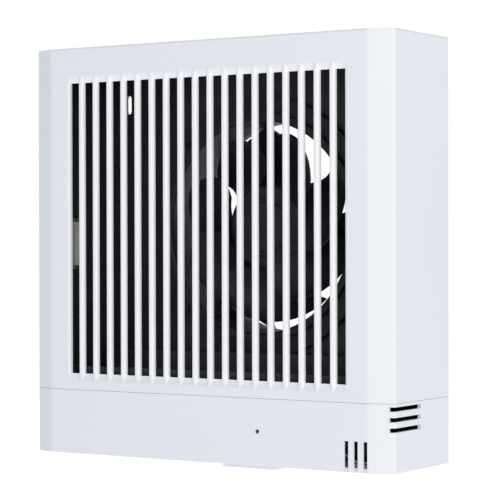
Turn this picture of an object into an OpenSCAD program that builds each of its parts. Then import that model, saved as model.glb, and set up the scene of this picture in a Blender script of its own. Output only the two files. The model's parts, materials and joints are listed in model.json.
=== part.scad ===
// Indoor head of a through-wall heat recovery unit: slatted cover, control strip, axial fan, duct spigot.
// Millimetres. Origin on the duct axis at the wall plane; the front faces -Y, the duct runs along +Y.

/* [Casing] */
// Width of the casing
body_w = 290; // [288:1:296]
// Depth of the casing, from the wall to the front face
body_d = 81; // [81:1:86]
// Top of the casing above the duct axis
top_z = 126; // [125:1:130]
// Bottom of the casing below the duct axis
base_z = 159; // [158:1:164]
// Height of the control strip below the cover's lower edge
strip_h = 45; // [45:1:46]
// Wall thickness of the white mouldings
wall = 2.5; // [2.2:0.1:2.6]
// Width of the slanted facet at each front corner, seen from the front
facet_w = 16.7; // [15:0.1:18]
// Depth of the slanted facet at each front corner
facet_d = 6.5; // [5:0.1:7]

/* [Grille] */
// Number of upright slats
slat_count = 18; // [16:1:18]
// Distance from slat to slat
slat_pitch = 12; // [11:0.1:12]
// Width of one slat
slat_w = 4.5; // [4.2:0.1:4.8]
// Depth of one slat
slat_d = 3.1; // [3:0.1:5]
// Height of the grille above the duct axis
grille_top = 101.3; // [95:0.1:103]
// Depth of the grille below the duct axis
grille_base = 102.6; // [95:0.1:103]
// Height of the sloped recess above and below each gap
ramp_h = 5; // [3:0.1:6]

/* [Duct] */
// Outer radius of the spigot that enters the wall tube
spigot_r = 76.5; // [76:0.1:77]
// Wall thickness of the spigot
spigot_wall = 1.9; // [1.6:0.1:2.2]
// Length of the spigot behind the wall plane
spigot_len = 35; // [34:1:60]

/* [Fan] */
// Number of blades
blade_count = 7; // [5:1:7]
// Radius of the impeller hub
hub_r = 31; // [30.5:0.1:32]
// Radius of the blade tips
tip_r = 67.1; // [64:0.1:69]

/* [Controls] */
// Width of the mode key
key_w = 42; // [38:1:46]
// How far the mode key stands out below the casing
key_out = 2.2; // [1.5:0.1:2.5]
// Travel of the mode key
key_travel = 1.2; // [0.8:0.1:1.2]
// Width of one vent slot in the control strip
vent_w = 2.9; // [2.4:0.1:3]

/* [Hidden] */
$fn = 96;
eps = 0.02;                 // play between pieces that are pressed or seated together
front_y = -body_d;
seam_z = strip_h - base_z;  // parting line between the cover and the control strip
seam_gap = 0.2;
nose_r = 2;                 // rounding of the slats at the front
back_y = -0.5;              // rear edge of the white mouldings, just clear of the wall
floor_t = 3;                // bottom wall of the control strip
floor_z = floor_t - base_z; // its inner face
plate_t = 3;                // back plate of the chassis
slat_x0 = -slat_pitch * (slat_count - 1) / 2;
grille_x = (slat_pitch * (slat_count + 1) - slat_w) / 2;
duct_r = spigot_r - spigot_wall;
tray_x = 135.5;             // outer face of the chassis side walls
tray_wall = 2.5;
tray_front = -70;
tray_top = 116.5;
deck_z = -101;              // top face of the deck between fan chamber and control bay
deck_t = 2.5;
bay_z = -153;               // inner face of the chassis bottom flange
slot_x = 117.2;             // keyhole slots for the wall screws
slot_z = [90.4, -145.5];
slot_r = 2.55;
slot_len = 14;
clip_z = [-27, 4];          // snap clips of the cover
shoulder_r = spigot_r + 2;  // shoulder that centres the barrel in the back plate
groove_r = [94, 103];       // groove of the wall gasket
groove_t = 1.5;
flange_r = 92;
flange_y = [-7, -4];
flange_screw = 59.4;        // flange screws lie on the diagonals
lip_y = -10;
base_y = [28, 31.5];        // motor base
tube_r = 7.5;               // bearing tube
bearing_y = [8, 26];
bearing_w = 4;
bearing_r = 5.5;
shaft_r = 2.5;
ball_path = 4;
ball_r = 1;
cup_r = 28;                 // steel rotor cup
cup_y = [3.5, 25];
arm_count = 3;
arm_turn = 109.5;           // angle of the first arm
arm_wrap = [56, 37];        // angle that an arm covers at the base and at the barrel
arm_sweep = [-15.7, 28.6];  // how far it leans over, as it goes out
arm_y = [29.5, 33.5];
arm_r0 = hub_r - 4;
lead_arm = arm_turn + 120;  // the fan lead runs along the second arm
lead_groove = 1.9;          // half the width of its groove
lead_rim = 70;              // beyond this radius the lead runs straight along the duct
lead_r = 1.4;
core_r = 24.3;
core_y = [11, 21];
teeth = 9;
board_y = [-12.6, -11];     // power board
board_x = [-92, 98];
board_z = [-151, -106];
post_x = [-86, 92];
post_z = [-145, -112];
panel_y = [-64.6, -63];     // control board
panel_x = [8, 64];
panel_z = [-147, -112];
key_x = 35;
key_y = [-77, -63];
flange_z = floor_z + 0.1;   // underside of the key's flange
spring_top = -150;
spring_x = 16;              // spring positions either side of the key's middle
window_x = 44.5;
window_z = -135.9;
vent_x = [112.5, 119.5, 126.5];
vent_top = -138.7;
side_vent_z = [-117.65, -124.4, -131.05];
screw_x = 100;              // screws that hold the control strip from below
screw_y = -20;
head_h = 1.7;               // their recess in the bottom wall
inlet = [-103.5, -130];     // cable inlet in the back plate
inlet_r = 6.5;
clamp_drop = 14;            // the cable clamp sits below the inlet
clamp_x = 6.5;              // its screws, either side of the cable
sense_y = [-60, -58.8];     // sensor board
sense_x = [104, 130];
sense_z = [-150, -116];

// ---- shared shapes

// Box between its lowest and its highest corner
module block(lo, hi) translate(lo) cube(hi - lo);

// Outlines drawn as (y, z), (x, z) and (x, y), made solid along the third axis
module along_x(x0, x1) translate([x0, 0, 0]) rotate([90, 0, 90]) linear_extrude(x1 - x0) children();
module along_y(y0, y1) translate([0, y1, 0]) rotate([90, 0, 0]) linear_extrude(y1 - y0) children();
module along_z(z0, z1) translate([0, 0, z0]) linear_extrude(z1 - z0) children();

// Round bar along Y, and along Z
module rod_y(at, y0, y1, r) translate([at[0], y0, at[1]]) rotate([-90, 0, 0]) cylinder(r = r, h = y1 - y0);
module rod_z(at, z0, z1, r) translate([at[0], at[1], z0]) cylinder(r = r, h = z1 - z0);

// Ring about a line along Y
module ring_y(at, y0, y1, r0, r1) difference() {
    rod_y(at, y0, y1, r1);
    rod_y(at, y0 - 1, y1 + 1, r0);
}

// Outline drawn as (radius, y), turned about the duct axis
module turned() rotate([-90, 0, 0]) rotate_extrude() children();

// The same shape on the left and on the right
module both_sides() {
    children();
    mirror([1, 0, 0]) children();
}

// Arc that rounds corner b of the path a-b-c
function fillet(a, b, c, r, n = 5) =
    let (u = (a - b) / norm(a - b), v = (c - b) / norm(c - b), half = acos(u * v) / 2,
        m = b + (u + v) / norm(u + v) * r / sin(half), p = b + u * r / tan(half) - m,
        q = b + v * r / tan(half) - m, a0 = atan2(p[1], p[0]), turn = atan2(q[1], q[0]) - a0,
        sweep = turn > 180 ? turn - 360 : turn < -180 ? turn + 360 : turn)
    [for (i = [0:n]) m + r * [cos(a0 + sweep * i / n), sin(a0 + sweep * i / n)]];

// Outline with rounded corners: one radius a corner, 0 for a sharp one
function rounded(pts, radii) = let (n = len(pts)) [for (i = [0:n - 1])
    each (radii[i] == 0 ? [pts[i]] : fillet(pts[(i + n - 1) % n], pts[i], pts[(i + 1) % n], radii[i]))];

// Rectangle from corner lo to corner hi with corner radius r
function soft_box(lo, hi, r) = rounded([lo, [hi[0], lo[1]], hi, [lo[0], hi[1]]], [r, r, r, r]);

// Upright slot with round ends
module slot_shape(x, z, r, length) {
    for (s = [-1, 1]) translate([x, z + s * (length / 2 - r)]) circle(r);
    translate([x - r, z - length / 2 + r]) square([2 * r, length - 2 * r]);
}

// Pan-head screw along -Y to +Y: head at the front, its underside at y
module pan_screw(at, y, r, length) {
    rod_y(at, y, y + length, r);
    difference() {
        rod_y(at, y - r * 1.3, y, r * 2);
        for (w = [[0.3, 1.3], [1.3, 0.3]])
            block([at[0] - r * w[0], y - r * 1.3 - 1, at[1] - r * w[1]],
                [at[0] + r * w[0], y - r * 0.6, at[1] + r * w[1]]);
    }
}

// Sideways directions along a path, each turned as little as possible from the one before
function carried(dirs, s, i = 0) = i == len(dirs) ? [] :
    let (a = s - (s * dirs[i]) * dirs[i], u = a / norm(a)) concat([u], carried(dirs, u, i + 1));

// Tube of radius r swept along a list of points, with n sides
module swept(path, r, n = 8) {
    k = len(path);
    dirs = [for (i = [0:k - 1]) let (d = path[min(i + 1, k - 1)] - path[max(i - 1, 0)]) d / norm(d)];
    side = carried(dirs, abs(dirs[0][2]) > 0.9 ? [1, 0, 0] : [0, 0, 1]);
    points = [for (i = [0:k - 1]) let (s = side[i], t = cross(dirs[i], s)) for (j = [0:n - 1])
        path[i] + r * (s * cos(360 * j / n) + t * sin(360 * j / n))];
    skin = [for (i = [0:k - 2]) for (j = [0:n - 1]) let (m = (j + 1) % n)
        [i * n + j, (i + 1) * n + j, (i + 1) * n + m, i * n + m]];
    polyhedron(points, concat([[for (j = [0:n - 1]) j]], skin, [[for (j = [n - 1:-1:0]) (k - 1) * n + j]]));
}

// Smooth path through hand-chosen points (Catmull-Rom), m steps between neighbours
function smooth(p, m = 4) = let (n = len(p)) concat([for (i = [0:n - 2]) for (j = [0:m - 1])
    let (a = p[max(i - 1, 0)], b = p[i], c = p[i + 1], d = p[min(i + 2, n - 1)], t = j / m)
    (2 * b + (c - a) * t + (2 * a - 5 * b + 4 * c - d) * t * t + (3 * b - a - 3 * c + d) * t * t * t) / 2],
    [p[n - 1]]);

// ---- white casing

// Casing seen from above, inset by t from the outside
function side_y(t) = front_y + facet_d + t * (norm([facet_w, facet_d]) - facet_d) / facet_w;
function front_x(t) = body_w / 2 - facet_w - t * (norm([facet_w, facet_d]) - facet_w) / facet_d;
function plan(t) = rounded([[t - body_w / 2, back_y], [t - body_w / 2, side_y(t)],
    [-front_x(t), front_y + t], [front_x(t), front_y + t], [body_w / 2 - t, side_y(t)],
    [body_w / 2 - t, back_y]], [0, 2.5, 8, 8, 2.5, 0]);

// Casing block between two heights, with edges of radius r rounded along its top (up = 1) or base (up = -1)
module casing_block(z0, z1, r, up) {
    sharp = up > 0 ? z0 : z1;
    soft = up > 0 ? z1 : z0;
    intersection() {
        along_z(z0, z1) polygon(plan(0));
        along_y(front_y, back_y) polygon(rounded([[-body_w / 2, sharp], [-body_w / 2, soft],
            [body_w / 2, soft], [body_w / 2, sharp]], [0, r, r, 0]));
        along_x(-body_w / 2, body_w / 2) polygon(rounded([[back_y, sharp], [back_y, soft],
            [front_y, soft], [front_y, sharp]], [0, 0, r, 0]));
    }
}

// Opening of the grille, flared at the front
module grille_opening() {
    flare = 2.2;
    jamb = 1.5;
    along_x(-grille_x, grille_x) polygon([[front_y - 1, -grille_base - ramp_h],
        [front_y, -grille_base - ramp_h],
        [front_y + flare, -grille_base], [front_y + 8, -grille_base], [front_y + 8, grille_top],
        [front_y + flare, grille_top], [front_y, grille_top + ramp_h], [front_y - 1, grille_top + ramp_h]]);
    along_z(-grille_base, grille_top) polygon([[-grille_x - jamb, front_y - 1], [-grille_x - jamb, front_y],
        [-grille_x, front_y + 1], [grille_x, front_y + 1], [grille_x + jamb, front_y],
        [grille_x + jamb, front_y - 1]]);
}

// Upright slats, rounded at the front, that run out into the panel above and below
module slats() for (i = [0:slat_count - 1]) translate([slat_x0 + i * slat_pitch, front_y, 0])
    along_z(-grille_base - ramp_h, grille_top + ramp_h) {
        for (s = [-1, 1]) translate([s * (slat_w / 2 - nose_r), nose_r]) circle(nose_r);
        translate([nose_r - slat_w / 2, 0]) square([slat_w - 2 * nose_r, slat_d]);
        translate([-slat_w / 2, nose_r]) square([slat_w, slat_d - nose_r]);
    }

// Snap clip on the cover's side wall: a hooked plate between two ribs
module side_clip() {
    inner = body_w / 2 - wall;
    for (z = [clip_z[0], clip_z[1] - 2]) block([inner - 4.5, -70, z], [inner + 1, -43, z + 2]);
    block([inner - 11.5, -46, clip_z[0]], [inner + 1, -43, clip_z[1]]);
    block([inner - 13, -50, clip_z[0]], [inner - 11, -43, clip_z[1]]);
}

// Locating tab on the cover's top wall, just above the chassis
module top_tab(x) block([x - 8, -60, tray_top + 0.3], [x + 8, -30, top_z - wall + 1]);

module grille_cover() color("white") {
    rim = 2.5;
    difference() {
        union() {
            difference() {
                casing_block(seam_z + seam_gap / 2, top_z, 1.6, 1);
                along_z(seam_z - 1, top_z - wall) polygon(plan(wall));
            }
            block([-grille_x - rim, front_y + 1.5, -grille_base - rim],
                [grille_x + rim, front_y + 3.3, grille_top + rim]);
        }
        grille_opening();
    }
    slats();
    both_sides() side_clip();
    for (x = [-60, 60]) top_tab(x);
}

// Slots of the air vents for the room sensor: at the front corner and around the side
module vents() {
    for (x = vent_x) block([x - vent_w / 2, front_y - 1, -base_z - 1],
        [x + vent_w / 2, front_y + wall, vent_top]);
    for (z = side_vent_z) block([body_w / 2 - 4.3, front_y + 1.2, z - vent_w / 2],
        [body_w / 2 + 1, front_y + 41, z + vent_w / 2]);
    // the walls are thinner inside, around the slots
    block([vent_x[0] - 3, front_y + 1.1, floor_z], [vent_x[2] + 3, front_y + wall + 0.1, vent_top + 1.5]);
}

module control_cover() color("white") {
    difference() {
        casing_block(-base_z, seam_z - seam_gap / 2, 1.2, -1);
        along_z(floor_z, seam_z + 1) polygon(plan(wall));
        vents();
        block([key_x - key_w / 2 - 0.4, key_y[0] - 0.4, -base_z - 1],
            [key_x + key_w / 2 + 0.4, key_y[1] + 0.4, floor_z + 1]);
        rod_y([window_x, window_z], front_y - 1, front_y + wall + 1, 1.5);
        for (x = [-screw_x, screw_x]) {
            rod_z([x, screw_y], -base_z - 1, floor_z + 1, 1.5);
            rod_z([x, screw_y], -base_z - 1, -base_z + head_h, 3.4);
        }
    }
    // tongue behind the seam, from a foot on the wall; it ends ahead of the back plate
    difference() {
        union() {
            along_z(seam_z - 6, seam_z + 3) polygon(plan(wall + 0.4));
            along_z(seam_z - 6, seam_z - 3) polygon(plan(wall - 0.2));
        }
        along_z(seam_z - 7, seam_z + 4) polygon(plan(wall + 1.6));
        block([-body_w, -plate_t - 1, seam_z - 7], [body_w, 1, seam_z + 4]);
        // its foot stops short of the side vents
        block([body_w / 2 - 30, front_y, seam_z - 7], [body_w / 2, front_y + 44, seam_z - 1.7]);
    }
    // posts for the control board and the sensor board
    for (x = [panel_x[0] + 5, panel_x[1] - 5]) post([x, panel_z[1] - 5], panel_y[0]);
    post([sense_x[0] + 4, sense_z[1] - 4], sense_y[0]);
    post([sense_x[1] - 4, sense_z[1] - 4], sense_y[0]);
    // seats of the key retainer
    for (s = [-1, 1]) difference() {
        block([key_x + s * 28 - 3, -78.7, floor_z - 1], [key_x + s * 28 + 3, -67, spring_top]);
        rod_z([key_x + s * 28, -72], spring_top - 5, spring_top + 1, 0.9);
    }
}

// Screw post that stands on the inside of the front wall
module post(at, y1) ring_y(at, front_y + wall - 0.5, y1, 1, 3);

module cover_seal() color("dimgray") {
    both_sides() {
        block([tray_x - 3, tray_front - 3.6, deck_z - deck_t], [tray_x, tray_front, clip_z[0] - 3]);
        block([tray_x - 3, tray_front - 3.6, clip_z[1] + 3], [tray_x, tray_front, tray_top]);
    }
    block([-122, tray_front - 8, tray_top - 3], [122, tray_front, tray_top]);
}

// ---- black chassis

module wall_slots() along_y(-plate_t - 1, 1)
    for (x = [-slot_x, slot_x], z = slot_z) slot_shape(x, z, slot_r, slot_len);

module chassis() color([0.07, 0.07, 0.08]) difference() {
    union() {
        along_y(-plate_t, 0) polygon(soft_box([0.7 + wall - body_w / 2, 0.6 - base_z + floor_t],
            [body_w / 2 - wall - 0.7, top_z - wall - 0.6], 3));
        // side walls, top wall and deck
        both_sides() block([tray_x - tray_wall, tray_front, deck_z - deck_t], [tray_x, -1, tray_top]);
        block([-tray_x, tray_front, tray_top - tray_wall], [tray_x, -1, tray_top]);
        block([-tray_x, tray_front, deck_z - deck_t], [tray_x, -1, deck_z]);
        block([-tray_x, tray_front, deck_z - 1], [tray_x, tray_front + 2.5, deck_z + 3]);
        // raised step over the power board
        block([-120, -26, deck_z - 1], [120, -1, deck_z + 13]);
        // stiffening ribs of the back plate
        for (s = [-1, 1]) block([-tray_x, -4.4, s * 68 - 0.8], [tray_x, -1, s * 68 + 0.8]);
        // bottom flange and its screw bosses
        block([-tray_x, -45, -155.4], [tray_x, -1, bay_z]);
        for (x = [-screw_x, screw_x]) rod_z([x, screw_y], bay_z - 1, bay_z + 8, 3.5);
        // posts of the power board and of the cable clamp
        for (x = post_x, z = post_z) rod_y([x, z], -plate_t - 8, -1, 3.2);
        for (s = [-1, 1]) rod_y([inlet[0] + s * clamp_x, inlet[1] - clamp_drop], -9, -1, 2.6);
        // seat of the flange screws
        for (x = [-flange_screw, flange_screw], z = [-flange_screw, flange_screw])
            rod_y([x, z], -plate_t, -1, 5);
    }
    rod_y([0, 0], -10, 1, shoulder_r + 0.3);
    ring_y([0, 0], -groove_t, 1, groove_r[0], groove_r[1]);
    rod_y([0, 0], -10, -plate_t, flange_r + 0.5);
    wall_slots();
    both_sides() block([tray_x - 4, tray_front - 1, clip_z[0] - 3], [tray_x + 1, -38, clip_z[1] + 3]);
    block([-117.5, -23.5, deck_z - deck_t - 1], [117.5, -plate_t, deck_z + 10.5]);
    rod_z([-28, -16], deck_z + 5, deck_z + 20, 4);
    rod_y(inlet, -10, 1, inlet_r);
    for (x = post_x, z = post_z) rod_y([x, z], -12, -4, 1.2);
    for (s = [-1, 1]) rod_y([inlet[0] + s * clamp_x, inlet[1] - clamp_drop], -10, -3.5, 1);
    for (x = [-flange_screw, flange_screw], z = [-flange_screw, flange_screw]) rod_y([x, z], -10, -0.6, 1.45);
    for (x = [-screw_x, screw_x]) rod_z([x, screw_y], bay_z - 4, bay_z + 6, 1.3);
}

module wall_gasket() color("dimgray") ring_y([0, 0], eps - groove_t, 0, groove_r[0] + 0.1, groove_r[1] - 0.1);

module flange_gasket() color("dimgray") difference() {
    ring_y([0, 0], flange_y[1] + eps, -plate_t - eps, shoulder_r + 0.3, flange_r);
    for (x = [-flange_screw, flange_screw], z = [-flange_screw, flange_screw]) rod_y([x, z], -10, 1, 2);
}

// ---- duct barrel with the motor base

// How far round an arm's middle has leant over at radius r
function arm_lean(r) = let (t = max(0, (r - arm_r0) / (duct_r + 0.5 - arm_r0)))
    arm_sweep[0] * t + arm_sweep[1] * t * t;

// Edge of a motor arm at t from the base (0) to the barrel (1), on side s
function arm_edge(t, s) = let (r = arm_r0 + (duct_r + 0.5 - arm_r0) * t,
    a = arm_lean(r) + s * (arm_wrap[0] + (arm_wrap[1] - arm_wrap[0]) * t) / 2)
    r * [cos(a), sin(a)];

// Point of the lead's arm at radius r, moved sideways by off
function on_arm(r, off = 0) = let (a = lead_arm + arm_lean(min(r, lead_rim)))
    r * [cos(a), sin(a)] + off * [-sin(a), cos(a)];

// Strip of the groove's width along the lead's arm, from radius r0 to r1
module lead_strip(r0, r1) {
    radii = [for (i = [0:6]) r0 + (r1 - r0) * i / 6];
    polygon(concat([for (r = radii) on_arm(r, -lead_groove)],
        [for (i = [6:-1:0]) on_arm(radii[i], lead_groove)]));
}

// Flat curved arm between the motor base and the barrel
module motor_arm() along_y(arm_y[0], arm_y[1])
    polygon(concat([for (i = [0:8]) arm_edge(i / 8, -1)], [for (i = [8:-1:0]) arm_edge(i / 8, 1)]));

module fan_barrel() color([0.1, 0.1, 0.11]) {
    lip = 2.5;
    difference() {
        union() {
            turned() polygon(concat([[duct_r, spigot_len], [spigot_r, spigot_len], [spigot_r, 0],
                [shoulder_r, 0], [shoulder_r, flange_y[1]], [flange_r, flange_y[1]],
                [flange_r, flange_y[0]], [duct_r + 6, flange_y[0]], [duct_r + 6, lip_y]],
                [for (i = [0:6]) [duct_r + lip - lip * sin(15 * i), lip_y + lip - lip * cos(15 * i)]]));
            for (k = [0:arm_count - 1]) rotate([0, -arm_turn - k * 360 / arm_count, 0]) motor_arm();
            ring_y([0, 0], base_y[0], base_y[1], tube_r + eps, hub_r);
            for (a = [70:120:310]) rod_y(20 * [cos(a), sin(a)], 25.6 + eps, base_y[0] + 1, 2);
        }
        for (x = [-flange_screw, flange_screw], z = [-flange_screw, flange_screw]) rod_y([x, z], -10, 1, 2);
        // passage and groove for the fan lead
        rod_y(on_arm(22), 20, 40, 2.2);
        along_y(20, 36) lead_strip(22, 27);
        along_y(31.3, 36) lead_strip(22, duct_r - 4);
        along_y(20, 36) lead_strip(62, duct_r - 0.05);
    }
}

module flange_screws() color([0.1, 0.1, 0.1])
    for (x = [-flange_screw, flange_screw], z = [-flange_screw, flange_screw])
        pan_screw([x, z], flange_y[0], 1.4, 6);

// ---- motor

module bearing_tube() color([0.8, 0.65, 0.3]) turned() polygon([
    [bearing_r, 6.5], [tube_r, 6.5], [tube_r, base_y[1]], [10.5, base_y[1]], [10.5, base_y[1] + 1.2],
    [bearing_r, base_y[1] + 1.2], [bearing_r, bearing_y[1] - eps], [4.8, bearing_y[1] - eps],
    [4.8, bearing_y[0] + bearing_w + eps], [bearing_r, bearing_y[0] + bearing_w + eps]]);

// Race of a ball bearing between two radii, with the groove of the balls
module race(y, r0, r1) difference() {
    ring_y([0, 0], y, y + bearing_w, r0, r1);
    turned() translate([ball_path, y + bearing_w / 2]) circle(ball_r + 0.05);
}

module bearing_outer_rings() color("silver") for (y = bearing_y) race(y, ball_path + 0.5, bearing_r - eps);
module bearing_inner_rings() color("silver") for (y = bearing_y) race(y, shaft_r + eps, ball_path - 0.5);
module bearing_balls() color("gainsboro") for (y = bearing_y, a = [0:45:315])
    translate([ball_path * cos(a), y + bearing_w / 2, ball_path * sin(a)]) sphere(ball_r);

module shaft() color("silver") turned() polygon([[0, 3.6], [shaft_r, 3.6], [shaft_r, 30.1], [2, 30.1],
    [2, 30.9], [shaft_r, 30.9], [shaft_r, 32], [2, 32.5], [0, 32.5]]);

module shaft_circlip() color("gray") difference() {
    ring_y([0, 0], 30.2, 30.8, 2.05, 3.6);
    block([-1.2, 30, 0], [1.2, 31, 5]);
}

module rotor_cup() color("slategray") turned() polygon([[shaft_r + eps, cup_y[0]], [cup_r - 1, cup_y[0]],
    [cup_r, cup_y[0] + 1], [cup_r, cup_y[1]], [cup_r - 1.2, cup_y[1]], [cup_r - 1.2, cup_y[0] + 1.2],
    [5, cup_y[0] + 1.2], [4.2, 7.6], [shaft_r + eps, 7.6]]);

module magnet_ring() color("dimgray") ring_y([0, 0], 9, 23, core_r + 0.6, cup_r - 1.2 - eps);

module stator_core() color("lightsteelblue") along_y(core_y[0], core_y[1]) difference() {
    union() {
        circle(12);
        for (i = [0:teeth - 1]) rotate(i * 360 / teeth) {
            translate([10, -2]) square([13, 4]);
            intersection() {
                difference() {
                    circle(core_r);
                    circle(core_r - 1.8);
                }
                translate([15, -7]) square([12, 14]);
            }
        }
    }
    circle(tube_r + eps);
}

module stator_coils() color([0.72, 0.4, 0.2]) for (i = [0:teeth - 1]) rotate([0, i * 360 / teeth, 0])
difference() {
    block([12.8, core_y[0] - 2.2, -3.9], [21.6, core_y[1] + 2.2, 3.9]);
    block([12, core_y[0] - 0.05, -2.05], [22, core_y[1] + 0.05, 2.05]);
}

module motor_board() color("darkgreen") difference() {
    ring_y([0, 0], 24.4, 25.6, tube_r + 0.3, 24);
    rod_y(on_arm(22), 20, 30, 1.6);
}

// ---- impeller

// Blade in its own polar frame: t runs from hub to tip, u from the leading to the trailing edge
first_blade = 25;           // angle of the first blade
root_wrap = 85.5;
tip_wrap = 49.7;
sweep_back = -52.7;
sweep_out = 51.6;
lead_y = -10.9;
trail_y = 22.9;
blade_t = 1.8;
function blade_angle(t, u) = first_blade + sweep_back * t + sweep_out * t * t
    + (u - 0.5) * (root_wrap + (tip_wrap - root_wrap) * t);
function blade_y(t, u) = lead_y + (trail_y - lead_y) * u;
function blade_reach(u) = tip_r - 4.5 * pow(2 * u - 1, 2);
function blade_point(t, u) = let (r = hub_r - 1 + (blade_reach(u) - hub_r + 1) * t, a = blade_angle(t, u))
    [r * cos(a), blade_y(t, u), r * sin(a)];

// One blade: the mid-surface thickened to both sides, thinner towards its edges
module blade(nt = 8, nu = 10) {
    function place(i, j, side) = let (t = i / nt, u = j / nu, d = 0.02,
        n = cross(blade_point(t, u + d) - blade_point(t, u - d),
            blade_point(t + d, u) - blade_point(t - d, u)),
        half = blade_t / 2 * (0.35 + 0.65 * sqrt(sin(180 * (0.04 + 0.92 * u)))))
        blade_point(t, u) + side * half * n / norm(n);
    cols = nu + 1;
    layer = cols * (nt + 1);
    pts = [for (side = [-1, 1], i = [0:nt], j = [0:nu]) place(i, j, side)];
    quads = [for (i = [0:nt - 1], j = [0:nu - 1]) let (a = i * cols + j) [a, a + 1, a + cols + 1, a + cols]];
    rim = concat([for (j = [0:nu]) j], [for (i = [1:nt]) i * cols + nu],
        [for (j = [nu - 1:-1:0]) nt * cols + j], [for (i = [nt - 1:-1:1]) i * cols]);
    lower = [for (q = quads) each [[q[0], q[1], q[2]], [q[0], q[2], q[3]]]];
    upper = [for (q = quads) each [[layer + q[0], layer + q[2], layer + q[1]],
        [layer + q[0], layer + q[3], layer + q[2]]]];
    edge = [for (i = [0:len(rim) - 1]) let (a = rim[i], b = rim[(i + 1) % len(rim)])
        each [[a, layer + a, layer + b], [a, layer + b, b]]];
    polyhedron(pts, concat(lower, upper, edge));
}

module impeller() color([0.13, 0.13, 0.14]) {
    turned() polygon(concat([[0, 0.8], [17.5, 0.8], [18.5, 1.8], [20.5, 1.8], [21.5, 0.8], [hub_r - 3, 0.8]],
        [for (i = [1:6]) [hub_r - 3 + 3 * sin(15 * i), 3.8 - 3 * cos(15 * i)]],
        [[hub_r, 25.5], [cup_r + 0.1, 25.5], [cup_r + 0.1, cup_y[0] - 0.1], [0, cup_y[0] - 0.1]]));
    for (k = [0:blade_count - 1]) rotate([0, k * 360 / blade_count, 0]) blade();
}

// ---- leads

// Fan lead: along the arm and the barrel as (distance from the axis, y), then down to its plug
arm_route = [[22, 26], [22, 28.5], [23, 31.5], [27, 33], [36, 33], [45, 33], [55, 33], [64, 33], [69.5, 31.5],
    [72.3, 27.5], [72.8, 24.5], [72.9, 21], [72.9, 6], [72.9, -7.5], [73.4, -11.4], [77, -14.2]];
deck_route = [[-31, -15.2, -77], [-28.3, -15.9, -83.5], [-28, -16, -87.5], [-28, -16, -92], [-28, -16, -97],
    [-28, -18.2, -102], [-28, -19, -105.5], [-28, -19, -108.9]];
module fan_lead() color([0.05, 0.05, 0.05]) swept(smooth(concat([for (p = arm_route)
    let (q = on_arm(p[0])) [q[0], p[1], q[1]]], deck_route), 4), lead_r);

module lead_clips() color([0.1, 0.1, 0.11]) for (y = [4, 15]) translate([0, y, 0])
    rotate([0, -lead_arm - arm_lean(lead_rim), 0]) difference() {
        block([duct_r - 4, -2, -2.9], [duct_r - 0.15, 2, 2.9]);
        rod_y([72.9, 0], -3, 3, lead_r + 0.2);
    }

module deck_grommet() color([0.06, 0.06, 0.06]) difference() {
    union() {
        rod_z([-28, -16], deck_z + 13, deck_z + 14.2, 6);
        rod_z([-28, -16], deck_z + 10.4, deck_z + 13.1, 4 - eps);
        rod_z([-28, -16], deck_z + 9.2, deck_z + 10.4, 5.5);
    }
    rod_z([-28, -16], deck_z + 5, deck_z + 20, 1.55);
}

module fan_plug() color("ivory") difference() {
    block([-33, -22, -116], [-23, -16.2, -109]);
    for (x = [-31, -28.5, -26, -24.5]) rod_z([x, -19], -117, -113, 0.35);
}

module fan_header() color("ivory") {
    block([-34, -22.4, -121], [-22, board_y[0], -116.02]);
    for (x = [-31, -28.5, -26, -24.5]) rod_z([x, -19], -116.1, -113.2, 0.3);
}

// Two wires from the control board, past the corner vents and along the floor, up to the sensor board
sensor_wire_r = 0.5;
sensor_routes = [
    [[60.5, -64.75, -134], [60.5, -66.8, -134.1], [62.5, -69.2, -135.2], [67, -71.2, -137.6],
        [74, -72, -140.8], [83, -72, -144.2], [92, -72, -147.2], [99, -72, -148.6], [104, -72, -148.9],
        [107.6, -72, -149.1], [110.2, -72, -151.3], [111.8, -72, -153.8], [114.2, -72, -155.1],
        [117.5, -72, -155.3], [121, -71.6, -155.3], [125, -68, -154.6], [126.5, -64, -151],
        [126.5, -61.6, -147.2], [126.5, -60.15, -146.8]],
    [[63.2, -64.75, -136.5], [63.2, -66.4, -136.6], [65.5, -68.8, -138.2], [70, -70.2, -140.2],
        [75, -70.8, -142.2], [83, -70.8, -144.9], [92, -70.8, -147.6], [99, -70.8, -148.7],
        [104, -70.8, -148.9], [107.6, -70.7, -149], [110.4, -70.6, -150.4], [113.7, -70.6, -152.8],
        [117.5, -70.8, -153.6], [120.8, -70.4, -153.3], [124.3, -66.6, -151.6], [124.3, -62.6, -148],
        [124.3, -60.15, -147.3]]];
module sensor_lead() color("white") for (route = sensor_routes) swept(smooth(route, 2), sensor_wire_r);

// ---- power board in the control bay

module power_board() color("darkgreen") along_y(board_y[0], board_y[1]) difference() {
    polygon(soft_box([board_x[0], board_z[0]], [board_x[1], board_z[1]], 1.5));
    for (x = post_x, z = post_z) translate([x, z]) circle(1.5);
}

module board_screws() color("silver") for (x = post_x, z = post_z) pan_screw([x, z], board_y[0], 1.15, 8);

module terminal_block() color([0.15, 0.45, 0.3]) difference() {
    block([-80, board_y[0] - 12, -150], [-58, board_y[0], -138]);
    for (i = [0:2]) {
        x = -76.3 + 7.3 * i;
        rod_y([x, -144], board_y[0] - 13, board_y[0] - 6, 2.2);
        block([x - 2.2, board_y[0] - 6, -151], [x + 2.2, board_y[0] - 2, -140]);
    }
}

module terminal_screws() color("silver") for (i = [0:2]) difference() {
    rod_y([-76.3 + 7.3 * i, -144], board_y[0] - 11, board_y[0] - 5.5, 2);
    block([-76.3 + 7.3 * i - 3, board_y[0] - 12, -144.4], [-76.3 + 7.3 * i + 3, board_y[0] - 10, -143.6]);
}

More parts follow.
